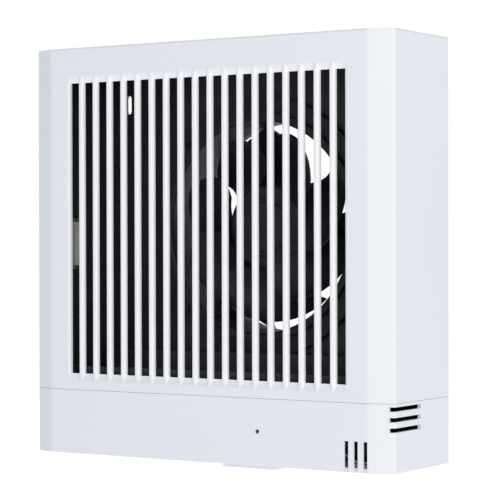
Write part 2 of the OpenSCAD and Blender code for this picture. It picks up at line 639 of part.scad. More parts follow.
module power_transformer() color([0.85, 0.7, 0.2]) {
    block([-12, board_y[0] - 4, -140], [12, board_y[0], -118]);
    block([-9, board_y[0] - 16, -138], [9, board_y[0] - 3.9, -120]);
    for (z = [-142, -120]) block([-11, board_y[0] - 18, z], [11, board_y[0] - 1, z + 4]);
}

module electrolytic_caps() color([0.12, 0.12, 0.2]) for (c = [[24, -116, 6, 22], [24, -132, 5, 16]]) {
    rod_y([c[0], c[1]], board_y[0] - c[3], board_y[0] - 1, c[2]);
    rod_y([c[0], c[1]], board_y[0] - 1.6, board_y[0], c[2] - 0.8);
}

module film_capacitor() color("goldenrod") along_y(board_y[0] - 14, board_y[0])
    polygon(soft_box([-54, -147], [-36, -139], 1));

module line_choke() color([0.6, 0.3, 0.15]) {
    ring_y([-46, -124], board_y[0] - 12, board_y[0] - 1, 4, 10);
    block([-57, board_y[0] - 1.2, -135], [-35, board_y[0], -113]);
}

module relay() color([0.1, 0.25, 0.5]) along_y(board_y[0] - 15.5, board_y[0])
    polygon(soft_box([44, -148], [63, -133], 0.8));

module fuse() {
    color("lightgray") block([-84, board_y[0] - 2.4, -133], [-62, board_y[0], -127]);
    color("silver") translate([-83, board_y[0] - 5, -130]) rotate([0, 90, 0]) cylinder(r = 2.5, h = 20);
}

module controller_chip() color([0.08, 0.08, 0.08]) {
    block([52, board_y[0] - 1.6, -124], [62, board_y[0] - 0.2, -114]);
    for (s = [-1, 1], i = [-3:3]) block([56.6 + s * 6 - 0.8, board_y[0] - 0.5, -119.3 + i * 1.27],
        [57.4 + s * 6 + 0.8, board_y[0], -118.7 + i * 1.27]);
}

module inlet_grommet() color([0.06, 0.06, 0.06]) difference() {
    union() {
        rod_y(inlet, -4.8, -plate_t, inlet_r + 2);
        rod_y(inlet, -plate_t - 0.2, 0, inlet_r - eps);
    }
    rod_y(inlet, -6, 1, 3.5);
}

module cable_clamp() color([0.1, 0.1, 0.1]) difference() {
    along_y(-12, -9) polygon(soft_box([inlet[0] - clamp_x - 3, inlet[1] - clamp_drop - 3],
        [inlet[0] + clamp_x + 3, inlet[1] - clamp_drop + 3], 2.5));
    for (s = [-1, 1]) rod_y([inlet[0] + s * clamp_x, inlet[1] - clamp_drop], -13, -8, 1.2);
}

module clamp_screws() color("silver") for (s = [-1, 1])
    pan_screw([inlet[0] + s * clamp_x, inlet[1] - clamp_drop], -12, 0.95, 8);

// ---- control board, key and remote receiver

module control_board() color("darkgreen") along_y(panel_y[0], panel_y[1]) difference() {
    polygon(soft_box([panel_x[0], panel_z[0]], [panel_x[1], panel_z[1]], 1));
    for (x = [panel_x[0] + 5, panel_x[1] - 5]) translate([x, panel_z[1] - 5]) circle(1.2);
}

module panel_screws() color("silver") for (x = [panel_x[0] + 5, panel_x[1] - 5])
    mirror([0, 1, 0]) pan_screw([x, panel_z[1] - 5], -panel_y[1], 0.95, 7);

module tact_switch() color([0.2, 0.2, 0.22]) {
    block([key_x - 3, panel_y[0] - 7, -147.8], [key_x + 3, panel_y[0], -142]);
    rod_z([key_x, -68.5], floor_z + 1.35 + key_travel, -147.7, 1.7);
}

module buzzer() color([0.06, 0.06, 0.06]) difference() {
    rod_y([20, -130], panel_y[0] - 6, panel_y[0], 5.5);
    rod_y([20, -130], panel_y[0] - 7, panel_y[0] - 4, 0.8);
}

module ir_receiver() color([0.05, 0.05, 0.06]) {
    block([window_x - 2.7, panel_y[0] - 4.6, window_z - 3.2], [window_x + 2.7, panel_y[0], window_z + 3.6]);
    rod_y([window_x, window_z], panel_y[0] - 5.8, panel_y[0] - 4.5, 2.2);
}

module ir_window() color([0.1, 0.02, 0.03]) {
    rod_y([window_x, window_z], front_y + 0.7, -71, 1.38);
    rod_y([window_x, window_z], front_y + wall + eps, front_y + wall + 1.3, 2.8);
}

// Flat ribbon from the control board back to the power board, drawn as (y, z)
ribbon_line = [[-60.4, -124], [-54, -124.4], [-44, -127.5], [-34, -129], [-26, -127], [-20, -124.6],
    [-16.6, -124]];
module ribbon_cable() color("lightgray") along_x(70, 82) {
    p = smooth(ribbon_line, 3);
    polygon(concat([for (q = p) q + [0, 0.45]], [for (i = [len(p) - 1:-1:0]) p[i] - [0, 0.45]]));
}

module ribbon_sockets() color([0.08, 0.08, 0.08]) {
    block([68, -16.55, -126.5], [84, board_y[0], -121.5]);
    block([panel_x[1] - 2, panel_y[1], -126.5], [84, -60.45, -121.5]);
}

module mode_key() color("white") {
    w = key_w / 2;
    intersection() {
        along_z(-base_z - key_out, flange_z + 1)
            polygon(soft_box([key_x - w, key_y[0]], [key_x + w, key_y[1]], 1.5));
        along_y(key_y[0] - 1, key_y[1] + 1) polygon(rounded([[key_x - w, -base_z - key_out],
            [key_x + w, -base_z - key_out], [key_x + w, flange_z + 1], [key_x - w, flange_z + 1]],
            [0.8, 0.8, 0, 0]));
    }
    block([key_x - w - 2, key_y[0] - 1.2, flange_z], [key_x + w + 2, key_y[1] + 1.2, flange_z + 1.2]);
    for (s = [-1, 1]) rod_z([key_x + s * spring_x, -72], flange_z + 1.1, flange_z + 2.6, 1.1);
}

// Compression springs between the key's flange and the retainer
module key_springs() color("silver") {
    turns = 5;
    wire = 0.22;
    low = flange_z + 1.2 + wire + eps;
    high = spring_top - wire - eps;
    for (s = [-1, 1]) translate([key_x + s * spring_x, -72, 0])
        swept([for (i = [0:turns * 12]) [1.9 * cos(30 * i), 1.9 * sin(30 * i),
            low + (high - low) * i / (turns * 12)]], wire, 6);
}

module key_retainer() color([0.1, 0.1, 0.1]) difference() {
    block([key_x - 31, -78, spring_top], [key_x + 31, -66.6, spring_top + 1.8]);
    rod_z([key_x, -68.5], spring_top - 1, spring_top + 3, 2.1);
    block([key_x - 2.1, -68.5, spring_top - 1], [key_x + 2.1, -60, spring_top + 3]);
    for (s = [-1, 1]) rod_z([key_x + s * 28, -72], spring_top - 1, spring_top + 3, 1.2);
}

module retainer_screws() color("silver") for (s = [-1, 1]) {
    rod_z([key_x + s * 28, -72], spring_top - 4.5, spring_top + 1.9, 0.85);
    rod_z([key_x + s * 28, -72], spring_top + 1.82, spring_top + 3.2, 1.8);
}

// ---- room sensor behind the corner vents

module sensor_board() color("black") along_y(sense_y[0], sense_y[1]) difference() {
    polygon(soft_box([sense_x[0], sense_z[0]], [sense_x[1], sense_z[1]], 1));
    for (x = [sense_x[0] + 4, sense_x[1] - 4]) translate([x, sense_z[1] - 4]) circle(1.2);
}

module sensor_chip() color([0.12, 0.12, 0.13]) difference() {
    block([112, sense_y[0] - 2.2, -139], [118, sense_y[0], -133]);
    rod_y([115, -136], sense_y[0] - 3, sense_y[0] - 1.2, 1.1);
}

module sensor_screws() color("silver") for (x = [sense_x[0] + 4, sense_x[1] - 4])
    mirror([0, 1, 0]) pan_screw([x, sense_z[1] - 4], -sense_y[1], 0.95, 8);

module strip_screws() color("silver") for (x = [-screw_x, screw_x]) {
    rod_z([x, screw_y], -base_z + 1, bay_z + 5, 1.25);
    difference() {
        rod_z([x, screw_y], -base_z + 0.2, -base_z + head_h - eps, 3);
        for (w = [[0.4, 1.8], [1.8, 0.4]])
            block([x - w[0], screw_y - w[1], -base_z], [x + w[0], screw_y + w[1], -base_z + 1]);
    }
}

grille_cover();
control_cover();
cover_seal();
chassis();
wall_gasket();
flange_gasket();
fan_barrel();
flange_screws();
bearing_tube();
bearing_outer_rings();
bearing_inner_rings();
bearing_balls();
shaft();
shaft_circlip();
rotor_cup();
magnet_ring();
impeller();
stator_core();
stator_coils();
motor_board();
fan_lead();
lead_clips();
deck_grommet();
fan_plug();
fan_header();
power_board();
board_screws();
terminal_block();
terminal_screws();
power_transformer();
electrolytic_caps();
film_capacitor();
line_choke();
relay();
fuse();
controller_chip();
inlet_grommet();
cable_clamp();
clamp_screws();
control_board();
panel_screws();
tact_switch();
buzzer();
ir_receiver();
ir_window();
ribbon_cable();
ribbon_sockets();
mode_key();
key_springs();
key_retainer();
retainer_screws();
sensor_board();
sensor_chip();
sensor_lead();
sensor_screws();
strip_screws();
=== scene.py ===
"""Looks of the indoor head of a through-wall heat recovery unit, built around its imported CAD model."""

import json
import math

import bmesh
import bpy
from mathutils import Matrix, Vector


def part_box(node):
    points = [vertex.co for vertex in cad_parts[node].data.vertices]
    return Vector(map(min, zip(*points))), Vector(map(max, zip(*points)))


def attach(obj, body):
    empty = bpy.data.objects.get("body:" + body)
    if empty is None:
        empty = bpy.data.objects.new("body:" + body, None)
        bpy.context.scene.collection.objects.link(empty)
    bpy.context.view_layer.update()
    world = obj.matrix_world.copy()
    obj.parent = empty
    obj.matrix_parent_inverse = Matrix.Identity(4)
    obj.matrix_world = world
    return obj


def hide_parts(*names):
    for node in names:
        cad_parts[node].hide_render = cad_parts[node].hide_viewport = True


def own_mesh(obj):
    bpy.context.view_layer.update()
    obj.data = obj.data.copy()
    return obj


MM = 0.001
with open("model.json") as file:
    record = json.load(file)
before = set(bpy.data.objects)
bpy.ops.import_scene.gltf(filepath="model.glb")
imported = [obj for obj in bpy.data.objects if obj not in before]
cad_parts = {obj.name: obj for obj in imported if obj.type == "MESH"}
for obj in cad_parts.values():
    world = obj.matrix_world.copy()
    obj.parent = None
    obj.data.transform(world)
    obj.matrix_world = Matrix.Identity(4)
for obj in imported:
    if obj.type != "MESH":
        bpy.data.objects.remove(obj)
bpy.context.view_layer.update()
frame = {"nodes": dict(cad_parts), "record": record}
NODES = frame["nodes"]
SLOT_OF = {part["node"]: part["material_slot"] for part in frame["record"]["subparts"]}
COLOUR_OF = {m["slot"]: tuple(m["base_color"][:3]) for m in frame["record"]["materials"]}
COVER_LO, COVER_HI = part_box("grille_cover")
STRIP_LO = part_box("control_cover")[0]
# The opening also bounds the painted highlight that whitens the slats in the casing material.
GRILLE_X, GRILLE_Z = 112 * MM, 104 * MM  # half the width and height of the slatted opening
SHARP_ANGLE = 32  # degrees between two faces from which their edge is bevelled
CHASSIS_TONE, FAN_TONE = 3.2, 1.6  # how much lighter the black plastics are painted than in the record


# ---- camera, lights and floor

def make_camera():
    """Long lens, level with the middle of the casing, from the right of the front."""
    azimuth, elevation, roll = math.radians(32.82), math.radians(0.27), math.radians(-0.13)
    distance = 4.583 * (COVER_HI.x - COVER_LO.x)
    right_of_duct, above_base = 39.2 * MM, 143.2 * MM
    aim = Vector((right_of_duct, COVER_LO.y, STRIP_LO.z + above_base))
    back = Vector((math.sin(azimuth) * math.cos(elevation), -math.cos(azimuth) * math.cos(elevation),
                   math.sin(elevation)))
    right = (-back).cross(Vector((0, 0, 1))).normalized()
    up = right.cross(-back)
    tilted_right = right * math.cos(roll) + up * math.sin(roll)
    tilted_up = up * math.cos(roll) - right * math.sin(roll)
    data = bpy.data.cameras.new("camera")
    data.sensor_width = 36
    data.lens = 144.35
    data.clip_start, data.clip_end = 0.05, 100
    camera = bpy.data.objects.new("camera", data)
    bpy.context.scene.collection.objects.link(camera)
    camera.matrix_world = Matrix.Translation(aim + back * distance) @ Matrix(
        (tilted_right, tilted_up, back)).transposed().to_4x4()
    bpy.context.scene.camera = camera


def area_light(name, azimuth, elevation, distance, size, power, colour):
    """Softbox that looks at the casing's centre from the given direction, in degrees."""
    a, e = math.radians(azimuth), math.radians(elevation)
    centre = (COVER_LO + COVER_HI) / 2
    back = Vector((math.sin(a) * math.cos(e), -math.cos(a) * math.cos(e), math.sin(e)))
    data = bpy.data.lights.new(name, "AREA")
    data.shape, data.size, data.energy, data.color = "DISK", size, power, colour
    light = bpy.data.objects.new(name, data)
    light.location = centre + back * distance
    light.rotation_mode = "QUATERNION"
    light.rotation_quaternion = (-back).to_track_quat("-Z", "Y")
    bpy.context.scene.collection.objects.link(light)


def make_studio():
    """White room: a pale floor far below the wall-hung unit, a soft key from the right, a weak fill."""
    bpy.context.scene.view_settings.view_transform = "Standard"
    world = bpy.data.worlds.new("studio")
    bpy.context.scene.world = world
    world.use_nodes = True
    tree = world.node_tree
    tree.nodes.clear()
    seen, glow = tree.nodes.new("ShaderNodeBackground"), tree.nodes.new("ShaderNodeBackground")
    seen.inputs["Color"].default_value = (1, 1, 1, 1)
    seen.inputs["Strength"].default_value = 1.0
    glow.inputs["Color"].default_value = (0.92, 0.97, 1.12, 1)
    glow.inputs["Strength"].default_value = 0.51
    path, mix = tree.nodes.new("ShaderNodeLightPath"), tree.nodes.new("ShaderNodeMixShader")
    out = tree.nodes.new("ShaderNodeOutputWorld")
    tree.links.new(path.outputs["Is Camera Ray"], mix.inputs["Fac"])
    tree.links.new(glow.outputs[0], mix.inputs[1])
    tree.links.new(seen.outputs[0], mix.inputs[2])
    tree.links.new(mix.outputs[0], out.inputs["Surface"])
    area_light("key", azimuth=50, elevation=12, distance=1.9, size=1.5, power=13.0,
               colour=(1.06, 1.0, 0.85))
    area_light("fill", azimuth=-35, elevation=10, distance=2.2, size=1.6, power=0.65,
               colour=(0.8, 0.95, 1.1))
    floor_drop = 1.2
    bpy.ops.mesh.primitive_plane_add(size=24, location=(0, 0, STRIP_LO.z - floor_drop))
    floor = bpy.context.object
    floor.name = "floor"
    paint = Paint("floor", (0.93, 0.93, 0.93), 0.7)
    paint.mottle(scale=1.5, amount=0.01)
    paint.shader.inputs["Emission Color"].default_value = (1, 1, 1, 1)
    seen_by = paint.node("ShaderNodeLightPath").outputs["Is Camera Ray"]
    paint.link(paint.spread(seen_by, 0, 1, 0.35, 0.75), paint.shader.inputs["Emission Strength"])
    floor.data.materials.append(paint.material)


# ---- materials

def scaled(colour, times):
    return tuple(c * times for c in colour)


class Paint:
    """One procedural material, built up a property at a time in the row frame's own coordinates."""

    def __init__(self, name, colour, roughness, metallic=0.0, coat=0.0):
        self.material = bpy.data.materials.new(name)
        self.material.use_nodes = True
        self.tree = self.material.node_tree
        self.shader = next(n for n in self.tree.nodes if n.type == "BSDF_PRINCIPLED")
        self.place = self.node("ShaderNodeTexCoord").outputs["Object"]
        self.colour, self.base, self.roughness = None, (*colour, 1), roughness
        self.shader.inputs["Base Color"].default_value = self.base
        self.shader.inputs["Roughness"].default_value = roughness
        self.shader.inputs["Metallic"].default_value = metallic
        self.shader.inputs["Coat Weight"].default_value = coat
        self.height = None

    def node(self, kind, **values):
        made = self.tree.nodes.new(kind)
        for key, value in values.items():
            setattr(made, key, value)
        return made

    def link(self, source, target):
        self.tree.links.new(source, target)

    def stretched(self, scale):
        """Coordinates scaled apart along x, y and z."""
        mapping = self.node("ShaderNodeMapping")
        mapping.inputs["Scale"].default_value = scale
        self.link(self.place, mapping.inputs["Vector"])
        return mapping.outputs["Vector"]

    def noise(self, scale, detail=2.0, stretch=None):
        noise = self.node("ShaderNodeTexNoise")
        noise.inputs["Scale"].default_value = scale
        noise.inputs["Detail"].default_value = detail
        self.link(self.stretched(stretch) if stretch else self.place, noise.inputs["Vector"])
        return noise.outputs["Fac"]

    def cells(self, scale):
        cells = self.node("ShaderNodeTexVoronoi")
        cells.inputs["Scale"].default_value = scale
        self.link(self.place, cells.inputs["Vector"])
        return cells.outputs["Distance"]

    def patches(self, scale):
        """A number from 0 to 1 that is another one in each of many straight-edged patches."""
        patches = self.node("ShaderNodeTexVoronoi", distance="CHEBYCHEV")
        patches.inputs["Scale"].default_value = scale
        self.link(self.place, patches.inputs["Vector"])
        channels = self.node("ShaderNodeSeparateColor")
        self.link(patches.outputs["Color"], channels.inputs[0])
        return channels.outputs["Red"]

    def bands(self, axis, pitch, distortion=0.0):
        """Stripes across an axis, one every pitch metres."""
        wave = self.node("ShaderNodeTexWave", bands_direction=axis)
        wave.inputs["Scale"].default_value = 1 / (pitch * 3.1831)
        wave.inputs["Distortion"].default_value = distortion
        self.link(self.place, wave.inputs["Vector"])
        return wave.outputs["Fac"]

    def spread(self, value, low, high, to_low, to_high):
        """value, from low to high, carried to the range to_low to to_high."""
        remap = self.node("ShaderNodeMapRange")
        ends = {"From Min": low, "From Max": high, "To Min": to_low, "To Max": to_high}
        for key, number in ends.items():
            remap.inputs[key].default_value = number
        self.link(value, remap.inputs["Value"])
        return remap.outputs["Result"]

    def tint(self, factor, colour):
        """Colour blended over what is there by factor, an output from 0 to 1."""
        mix = self.node("ShaderNodeMix", data_type="RGBA")
        if self.colour is None:
            mix.inputs["A"].default_value = self.base
        else:
            self.link(self.colour, mix.inputs["A"])
        mix.inputs["B"].default_value = (*colour, 1)
        self.link(factor, mix.inputs["Factor"])
        self.colour = mix.outputs["Result"]
        self.link(self.colour, self.shader.inputs["Base Color"])

    def between(self, axis, low, high, blur):
        """1 where the place along an axis lies between low and high, fading over blur."""
        split = self.node("ShaderNodeSeparateXYZ")
        self.link(self.place, split.inputs[0])
        along = split.outputs[axis]
        return self.times(self.spread(along, low - blur, low + blur, 0, 1),
                          self.spread(along, high - blur, high + blur, 1, 0))

    def times(self, one, other):
        product = self.node("ShaderNodeMath", operation="MULTIPLY")
        self.link(one, product.inputs[0])
        self.link(other, product.inputs[1])
        return product.outputs[0]

    def mottle(self, scale, amount):
        """Faint darker and lighter clouds, as moulded or rolled surfaces have."""
        clouds = self.noise(scale, 4)
        self.tint(self.spread(clouds, 0.35, 0.65, 0, 0.5), scaled(self.base[:3], 1 - 4 * amount))

    def vary_gloss(self, scale, amount, stretch=None):
        smear = self.noise(scale, 3, stretch)
        self.link(self.spread(smear, 0.3, 0.7, self.roughness - amount, self.roughness + amount),
                  self.shader.inputs["Roughness"])

    def relief(self, value, height, strength=1.0):
        """Bump of the given height in metres, added to the relief already there."""
        bump = self.node("ShaderNodeBump")
        bump.inputs["Strength"].default_value = strength
        bump.inputs["Distance"].default_value = height
        self.link(value, bump.inputs["Height"])
        if self.height is not None:
            self.link(self.height, bump.inputs["Normal"])
        self.height = bump.outputs["Normal"]
        self.link(self.height, self.shader.inputs["Normal"])


def casing_white(name, colour):
    """Injection-moulded casing: spark-eroded grain, faint flow clouds, satin gloss, and a painted
    highlight on the thin slats.
    """
    paint = Paint(name, colour, 0.42)
    paint.mottle(9, 0.004)
    # Painted highlight: inside the grille opening the slats are tinted near white, standing in for the
    # key light on their rounded fronts.
    across = paint.between("X", -GRILLE_X, GRILLE_X, 0.8 * MM)
    upright = paint.between("Z", -GRILLE_Z, GRILLE_Z, 2 * MM)
    paint.tint(paint.times(across, upright), (0.99, 0.99, 0.995))
    paint.vary_gloss(14, 0.04)
    paint.relief(paint.noise(2600, 2), 0.012 * MM, 0.5)
    paint.shader.inputs["Subsurface Weight"].default_value = 0.04
    paint.shader.inputs["Subsurface Radius"].default_value = (0.002, 0.002, 0.0025)
    return paint.material


def moulded_black(name, colour):
    """Black moulding with a semi-gloss skin, sink marks and light handling smears."""
    paint = Paint(name, scaled(colour, CHASSIS_TONE), 0.34)
    paint.shader.inputs["Specular IOR Level"].default_value = 0.35
    paint.mottle(22, 0.05)
    paint.vary_gloss(35, 0.09)
    paint.relief(paint.noise(60, 2), 0.06 * MM, 0.35)
    paint.relief(paint.noise(1900, 2), 0.014 * MM, 0.4)
    return paint.material


def fan_black(name, colour):
    """Glass-filled polyamide: fibres show as fine streaks."""
    paint = Paint(name, scaled(colour, FAN_TONE), 0.42)
    paint.shader.inputs["Specular IOR Level"].default_value = 0.3
    paint.mottle(40, 0.06)
    paint.vary_gloss(60, 0.08)
    paint.relief(paint.noise(900, 3, stretch=(1, 4, 1)), 0.02 * MM, 0.45)
    return paint.material


def foam(name, colour):
    paint = Paint(name, colour, 0.92)
    # Painted shade and light: the sunken pores keep the dark base colour, while the raised walls between
    # them are painted lighter.
    paint.tint(paint.spread(paint.cells(1100), 0.1, 0.6, 0, 0.7), scaled(colour, 2.2))
    paint.relief(paint.cells(1100), 0.25 * MM, 0.9)
    return paint.material


def rubber(name, colour):
    paint = Paint(name, colour, 0.62)
    paint.mottle(60, 0.06)
    paint.relief(paint.noise(1500, 3), 0.02 * MM, 0.6)
    paint.vary_gloss(90, 0.1)
    return paint.material


def plated_steel(name, colour):
    """Zinc plating: crystalline patches and fine tool marks."""
    paint = Paint(name, colour, 0.3, metallic=1.0)
    paint.tint(paint.spread(paint.cells(420), 0.1, 0.7, 0, 0.35), (0.52, 0.54, 0.58))
    paint.vary_gloss(700, 0.12)
    paint.relief(paint.noise(1400, 2), 0.01 * MM, 0.5)
    return paint.material


def turned_metal(name, colour):
    """Turned or ground metal with fine circular tool marks about the duct axis."""
    paint = Paint(name, colour, 0.25, metallic=1.0)
    paint.relief(paint.noise(3200, 2, stretch=(0.15, 1, 0.15)), 0.008 * MM, 0.5)
    paint.vary_gloss(900, 0.08, stretch=(0.2, 1, 0.2))
    paint.tint(paint.spread(paint.noise(120, 3), 0.4, 0.75, 0, 0.3), scaled(colour, 0.7))
    return paint.material


def black_oxide(name, colour):
    """Blackened screw steel with an oily sheen."""
    paint = Paint(name, colour, 0.38, metallic=0.6)
    paint.mottle(300, 0.1)
    paint.vary_gloss(500, 0.12)
    paint.relief(paint.noise(1600, 2), 0.01 * MM, 0.5)
    return paint.material


def laminated(name, colour):
    """Stack of punched sheets, one every half millimetre along the axis."""
    paint = Paint(name, colour, 0.45, metallic=0.9)
    paint.tint(paint.spread(paint.bands("Y", 0.5 * MM), 0.2, 0.6, 0.8, 0), (0.08, 0.085, 0.09))
    paint.relief(paint.bands("Y", 0.5 * MM), 0.08 * MM, 0.8)
    paint.vary_gloss(500, 0.1)
    return paint.material


def wound_copper(name, colour):
    """Enamelled wire laid in close turns, with painted shade between them."""
    paint = Paint(name, colour, 0.28, metallic=0.85, coat=0.4)
    turns = paint.bands("DIAGONAL", 0.45 * MM, 0.4)
    # Painted shade: the copper is darkened to brown in the crevices between turns.
    paint.tint(paint.spread(turns, 0.1, 0.5, 0.7, 0), (0.24, 0.09, 0.03))
    paint.relief(turns, 0.15 * MM, 0.9)
    return paint.material


def circuit_board(name, colour):
    """Solder resist over copper tracks, which run across in some patches and upright in others."""
    paint = Paint(name, colour, 0.36, coat=0.3)
    patch = paint.patches(95)
    copper = tuple(c * 1.7 + 0.004 for c in colour)
    for axis, edge, side in (("Z", 0.52, 0.01), ("X", 0.36, -0.01)):
        lines = paint.spread(paint.bands(axis, 1.27 * MM), 0.66, 0.76, 0, 1)
        tracks = paint.times(lines, paint.spread(patch, edge, edge + side, 0, 1))
        paint.tint(tracks, copper)
        paint.relief(tracks, 0.05 * MM, 0.5)
    paint.tint(paint.spread(paint.cells(260), 0.08, 0.11, 1, 0), (0.6, 0.6, 0.58))
    return paint.material


def nylon(name, colour):
    """Plain moulded piece: connector, switch, wire insulation."""
    paint = Paint(name, colour, 0.5)
    paint.mottle(140, 0.02)
    paint.relief(paint.noise(2400, 2), 0.012 * MM, 0.5)
    paint.vary_gloss(200, 0.07)
    return paint.material


def wound_tape(name, colour):
    """Polyester tape in overlapping laps."""
    paint = Paint(name, colour, 0.24, coat=0.3)
    laps = paint.bands("Z", 4 * MM, 0.2)
    paint.tint(paint.spread(laps, 0.05, 0.3, 0.5, 0), scaled(colour, 0.6))
    paint.relief(laps, 0.06 * MM, 0.6)
    return paint.material


def ribbon(name, colour):
    """Flat cable: a groove between one conductor and the next, darkened by painted shade."""
    paint = Paint(name, colour, 0.45)
    wires = paint.bands("X", 1.27 * MM)
    # Painted shade: the grooves are darkened to half the cable's colour.
    paint.tint(paint.spread(wires, 0.0, 0.25, 0.6, 0), scaled(colour, 0.5))
    paint.relief(wires, 0.3 * MM, 0.9)
    return paint.material


def fuse_glass(name, colour):
    """Clear glass tube, slightly uneven."""
    paint = Paint(name, colour, 0.08)
    paint.shader.inputs["Transmission Weight"].default_value = 0.7
    paint.shader.inputs["IOR"].default_value = 1.5
    paint.relief(paint.noise(500, 2), 0.01 * MM, 0.3)
    paint.mottle(90, 0.02)
    return paint.material


def smoked(name, colour):
    """Infrared window: almost black acrylic with a polished face."""
    paint = Paint(name, colour, 0.12, coat=0.5)
    paint.mottle(300, 0.05)
    paint.relief(paint.noise(700, 2), 0.004 * MM, 0.4)
    return paint.material


MAKERS = {
    "white_casing": casing_white, "black_chassis": moulded_black, "fan_plastic": fan_black,
    "foam": foam, "rubber_black": rubber, "cable_black": rubber, "magnet": rubber,
    "zinc_steel": plated_steel, "rotor_steel": turned_metal, "bearing_steel": turned_metal,
    "spring_wire": turned_metal, "brass": turned_metal, "black_steel": black_oxide,
    "lamination": laminated, "copper_wire": wound_copper, "winding_tape": wound_tape,
    "board_green": circuit_board, "board_black": circuit_board, "component_black": nylon,
    "connector_ivory": nylon, "terminal_green": nylon, "film_yellow": nylon, "relay_blue": nylon,
    "wire_white": nylon, "ribbon_grey": ribbon, "fuse_glass": fuse_glass,
    "capacitor_sleeve": smoked, "smoked_window": smoked,
}


def paint_nodes():
    """Every CAD node gets its slot's material."""
    made = {slot: MAKERS[slot](slot, colour) for slot, colour in COLOUR_OF.items()}
    for name, node in NODES.items():
        node.data.materials.clear()
        node.data.materials.append(made[SLOT_OF[name]])
    return made


# ---- edges

def soften(name, width):
    """Welded, lightly bevelled edges and smooth shading for a CAD node."""
    node = NODES[name]
    bpy.context.view_layer.objects.active = node
    if node.data.has_custom_normals:
        with bpy.context.temp_override(object=node, active_object=node, mesh=node.data):
            bpy.ops.mesh.customdata_custom_splitnormals_clear()
    for face in node.data.polygons:
        face.use_smooth = True
    weld = node.modifiers.new("weld", "WELD")
    weld.merge_threshold = 0.002 * MM
    bevel = node.modifiers.new("soft_edges", "BEVEL")
    bevel.width, bevel.segments = width * MM, 2
    bevel.limit_method, bevel.angle_limit = "ANGLE", math.radians(SHARP_ANGLE)
    bevel.use_clamp_overlap = True
    bevel.harden_normals = True
    even = node.modifiers.new("even_shading", "WEIGHTED_NORMAL")
    even.keep_sharp = True


def soften_nodes():
    """Moulded pieces get wider edges than stamped, turned or soft ones."""
    widths = {"grille_cover": 0.45, "control_cover": 0.45, "chassis": 0.5, "fan_barrel": 0.45,
              "impeller": 0.35, "mode_key": 0.4, "key_retainer": 0.3, "relay": 0.4,
              "terminal_block": 0.25, "film_capacitor": 0.5, "cable_clamp": 0.4}
    for name in NODES:
        soften(name, widths.get(name, 0.12))


# ---- detailed pieces

def piece(name, mesh, slot):
    """New object of a mesh, painted with a slot's material, that rides on the housing."""
    for face in mesh.polygons:
        face.use_smooth = True
    made = bpy.data.objects.new(name, mesh)
    bpy.context.scene.collection.objects.link(made)
    mesh.materials.append(materials[slot])
    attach(made, "housing")
    return made


def from_bmesh(name, shape):
    mesh = bpy.data.meshes.new(name)
    shape.normal_update()
    shape.to_mesh(mesh)
    shape.free()
    return mesh


def brick(shape, low, high, edge):
    """Box between two corners, its edges rounded, added to a bmesh. Millimetres."""
    low, high = Vector(low) * MM, Vector(high) * MM
    middle, size = (low + high) / 2, high - low
    made = bmesh.ops.create_cube(shape, size=1.0)
    for vertex in made["verts"]:
        vertex.co = Vector([middle[i] + vertex.co[i] * size[i] for i in range(3)])
    edges = list({e for v in made["verts"] for e in v.link_edges})
    bmesh.ops.bevel(shape, geom=edges, offset=edge * MM, segments=2, profile=0.6, affect="EDGES")


def turned_part(shape, at, profile, sides=40, capped=True):
    """Profile of (radius, y) points in millimetres turned about a line along Y through at = (x, z)."""
    angles = [2 * math.pi * i / sides for i in range(sides)]
    rings = []
    for radius, y in profile:
        ring = [(at[0] + radius * math.cos(t), y, at[1] + radius * math.sin(t)) for t in angles]
        rings.append([shape.verts.new([c * MM for c in place]) for place in ring])
    for inner, outer in zip(rings, rings[1:]):
        for i in range(sides):
            j = (i + 1) % sides
            shape.faces.new((inner[i], inner[j], outer[j], outer[i]))
    for ring in (rings[0], rings[-1]) if capped else ():
        shape.faces.new(ring)
    bmesh.ops.recalc_face_normals(shape, faces=shape.faces)


def wire(name, points, radius):
    """Round wire through points in millimetres, as a mesh."""
    curve = bpy.data.curves.new(name, "CURVE")
    curve.dimensions = "3D"
    curve.bevel_depth, curve.bevel_resolution = radius * MM, 3
    curve.use_fill_caps = True
    spline = curve.splines.new("POLY")
    spline.points.add(len(points) - 1)
    for point, place in zip(spline.points, points):
        point.co = (*(c * MM for c in place), 1)
    holder = bpy.data.objects.new(name + "_curve", curve)
    mesh = bpy.data.meshes.new_from_object(holder)
    bpy.data.objects.remove(holder)
    return mesh


def corners(node):
    """Lowest and highest corner of a CAD node, in millimetres."""
    low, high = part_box(node)
    return low / MM, high / MM


def line_choke():
    """Ferrite ring with two windings of enamelled wire, on its base."""
    low, high = corners("line_choke")
    x, z = (low.x + high.x) / 2, (low.z + high.z) / 2
    base = bmesh.new()
    brick(base, (low.x, high.y - 1.3, low.z), high, 0.3)
    piece("choke_base", from_bmesh("choke_base", base), "component_black")
    core = bmesh.new()
    near, far = low.y + 1.4, high.y - 2
    ring = [(5.3, near), (8.9, near), (9.2, near + 0.4), (9.2, far - 0.4), (8.9, far),
            (5.3, far), (5, far - 0.4), (5, near + 0.4), (5.3, near)]
    turned_part(core, (x, z), ring, capped=False)
    piece("choke_core", from_bmesh("choke_core", core), "magnet")
    middle, turns, steps = (low.y + high.y) / 2 - 0.3, 11, 14
    for side in (0, 1):
        path = []
        for i in range(turns * steps + 1):
            t = 2 * math.pi * i / steps
            around = math.radians(180 * side - 62 + 124 * i / (turns * steps))
            radius = 7.1 + 2.75 * math.cos(t) * (1 - 0.12 * math.cos(t) ** 2)
            path.append((x + radius * math.cos(around), middle + 4.75 * math.sin(t),
                         z + radius * math.sin(around)))
        piece(f"choke_winding_{side}", wire("winding", path, 0.42), "copper_wire")
    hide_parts("line_choke")


